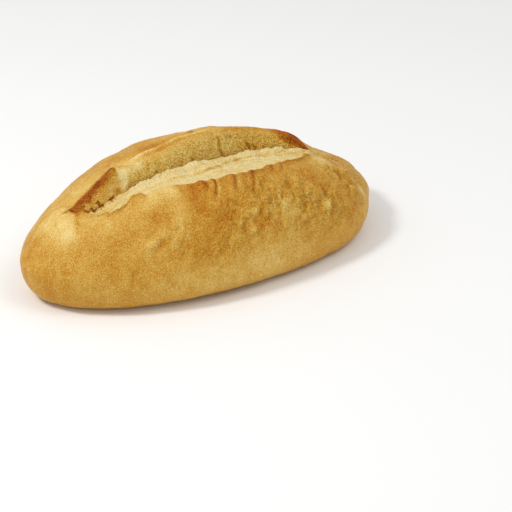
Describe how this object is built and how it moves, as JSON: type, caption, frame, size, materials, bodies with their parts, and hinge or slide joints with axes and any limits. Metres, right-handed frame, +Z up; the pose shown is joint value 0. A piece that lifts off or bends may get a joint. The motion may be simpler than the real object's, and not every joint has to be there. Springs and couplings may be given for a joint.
{
  "type": "potato bread loaf",
  "caption": "Oval crusty loaf with a flat baked bottom and one long slash, opened along the top into a torn ledge under a standing browned lip.",
  "frame": {"origin": "under the middle of the loaf, on the plane of its flat bottom", "axes": "+X along the loaf toward its broad end, +Y across it toward the side with the standing lip, +Z up"},
  "size_m": [0.2824, 0.1554, 0.0858],
  "materials": {
    "crust": "baked golden crust, satin, with a paler torn crumb in the slash"
  },
  "bodies": {
    "root": {"loaf": "crust"}
  },
  "joints": []
}
